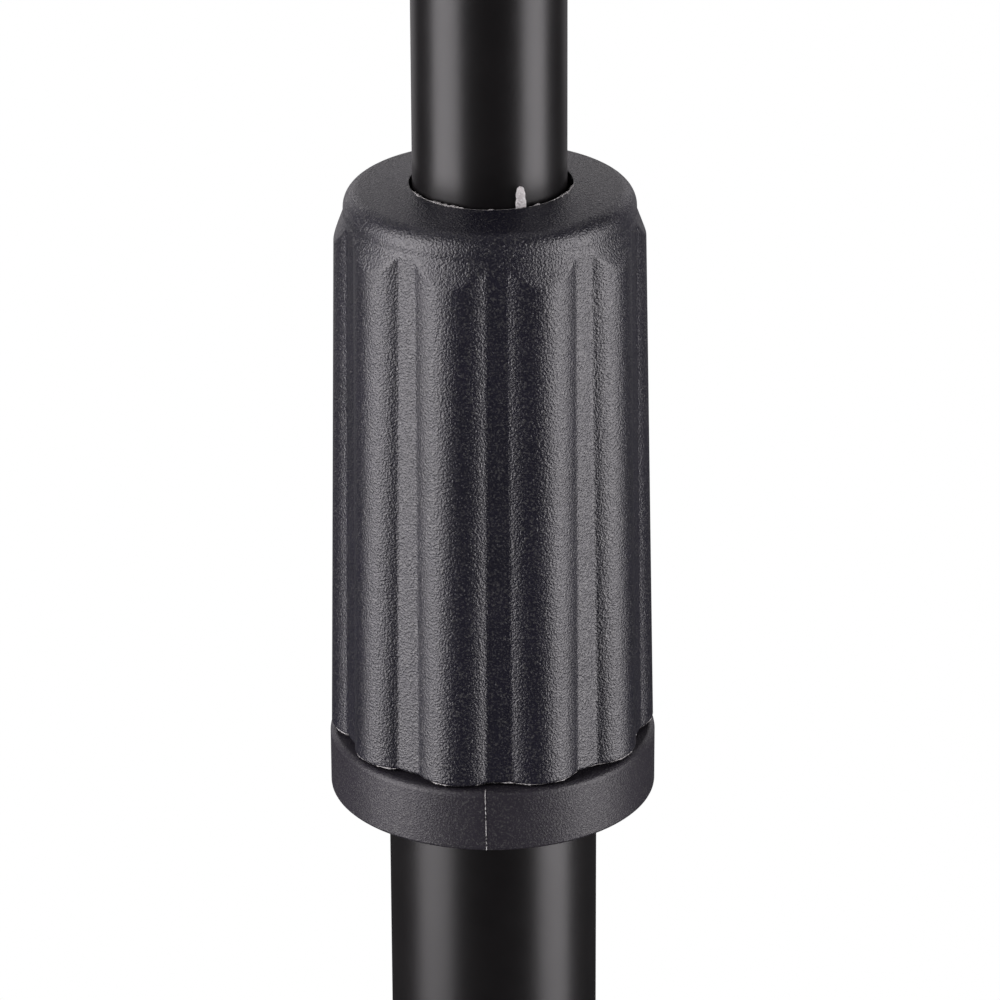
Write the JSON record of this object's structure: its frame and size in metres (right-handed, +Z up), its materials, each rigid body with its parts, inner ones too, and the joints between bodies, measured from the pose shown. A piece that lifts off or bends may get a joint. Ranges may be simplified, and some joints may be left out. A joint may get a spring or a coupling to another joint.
{
  "type": "music stand",
  "caption": "Floor-standing music stand: folding tripod base, telescopic shaft with a fluted twist-lock clutch, and a tilting perforated desk with a ledge.",
  "frame": {"origin": "on the floor, below the centre of the stand's footprint box", "axes": "+Z up along the shaft; the player stands on the -Y side; +X to the player's right"},
  "size_m": [0.5768, 0.5022, 1.1346],
  "materials": {
    "tube_paint": "satin black stove enamel on drawn steel tube",
    "hub_cast": "fine-textured black powder coat on a zinc casting",
    "grip_plastic": "charcoal nylon with a fine spark-eroded grain",
    "ring_plastic": "charcoal nylon, smoother than the grip",
    "nylon": "natural white nylon",
    "zinc": "bright zinc plate",
    "spring_steel": "ground spring steel",
    "black_screw": "black oxide",
    "friction_liner": "brown fibre",
    "knob_plastic": "black moulded plastic, semi-gloss",
    "brass": "turned brass",
    "desk_paint": "black powder coat with a fine orange-peel texture",
    "edging": "soft black PVC edging",
    "lug_plastic": "glass-filled black nylon",
    "boot_rubber": "black rubber, dusty"
  },
  "bodies": {
    "base": {"base_hub": "hub_cast", "base_washer": "zinc", "base_bolt": "zinc", "tube_plug": "zinc", "leg_bolts": "zinc", "leg_nuts": "zinc", "lower_tube": "tube_paint", "clutch_body": "ring_plastic", "clutch_dowels": "spring_steel", "clamp_collet": "nylon"},
    "lift_washer": {"slip_washer": "spring_steel"},
    "grip": {"grip": "grip_plastic"},
    "guide": {"guide_bush": "nylon"},
    "mast": {"upper_tube": "tube_paint", "tube_end_plug": "ring_plastic", "snap_ring": "spring_steel", "desk_socket": "hub_cast", "socket_screw": "black_screw", "friction_washers": "friction_liner"},
    "desk": {"tilt_bolt": "zinc", "knob_washer": "zinc", "desk_bracket": "desk_paint", "bracket_rivets": "black_screw", "desk_panel": "desk_paint", "desk_ledge": "desk_paint", "ledge_rivets": "black_screw", "ledge_trim": "edging"},
    "knob_spring": {"disc_spring": "spring_steel"},
    "knob": {"tilt_knob": "knob_plastic", "knob_insert": "brass"},
    "leg_rear": {"leg_tube_rear": "tube_paint", "leg_lug_rear": "lug_plastic", "leg_pin_rear": "spring_steel", "foot_rear": "boot_rubber"},
    "leg_left": {"leg_tube_left": "tube_paint", "leg_lug_left": "lug_plastic", "leg_pin_left": "spring_steel", "foot_left": "boot_rubber"},
    "leg_right": {"leg_tube_right": "tube_paint", "leg_lug_right": "lug_plastic", "leg_pin_right": "spring_steel", "foot_right": "boot_rubber"}
  },
  "joints": [
    {"name": "clutch_lift", "type": "slide", "parent": "base", "child": "lift_washer", "axis": [0, 0, 1], "range_m": [0, 0.003]},
    {"name": "grip_twist", "type": "hinge", "parent": "lift_washer", "child": "grip", "pos_m": [0, -0.07886, 0.6], "axis": [0, 0, 1], "range_deg": [0, 270]},
    {"name": "height_slide", "type": "slide", "parent": "base", "child": "guide", "axis": [0, 0, 1], "range_m": [-0.25, 0.18]},
    {"name": "mast_swivel", "type": "hinge", "parent": "guide", "child": "mast", "pos_m": [0, -0.07886, 0.6], "axis": [0, 0, 1], "continuous": true},
    {"name": "desk_tilt", "type": "hinge", "parent": "mast", "child": "desk", "pos_m": [0, -0.07886, 0.952], "axis": [1, 0, 0], "range_deg": [-70, 20]},
    {"name": "knob_travel", "type": "slide", "parent": "desk", "child": "knob_spring", "axis": [1, 0, 0], "range_m": [0, 0.00125]},
    {"name": "knob_turn", "type": "hinge", "parent": "knob_spring", "child": "knob", "pos_m": [0.025, -0.07886, 0.952], "axis": [1, 0, 0], "range_deg": [0, 360]},
    {"name": "leg_rear_fold", "type": "hinge", "parent": "base", "child": "leg_rear", "pos_m": [0, -0.04286, 0.085], "axis": [-1, 0, 0], "range_deg": [0, 76]},
    {"name": "leg_left_fold", "type": "hinge", "parent": "base", "child": "leg_left", "pos_m": [-0.03118, -0.09686, 0.085], "axis": [0.5, -0.866, 0], "range_deg": [0, 76]},
    {"name": "leg_right_fold", "type": "hinge", "parent": "base", "child": "leg_right", "pos_m": [0.03118, -0.09686, 0.085], "axis": [0.5, 0.866, 0], "range_deg": [0, 76]}
  ],
  "couplings": [
    {"joint": "grip_twist", "follows": "clutch_lift", "rad_per_m": 1570.8},
    {"joint": "knob_turn", "follows": "knob_travel", "rad_per_m": 5026.5}
  ]
}
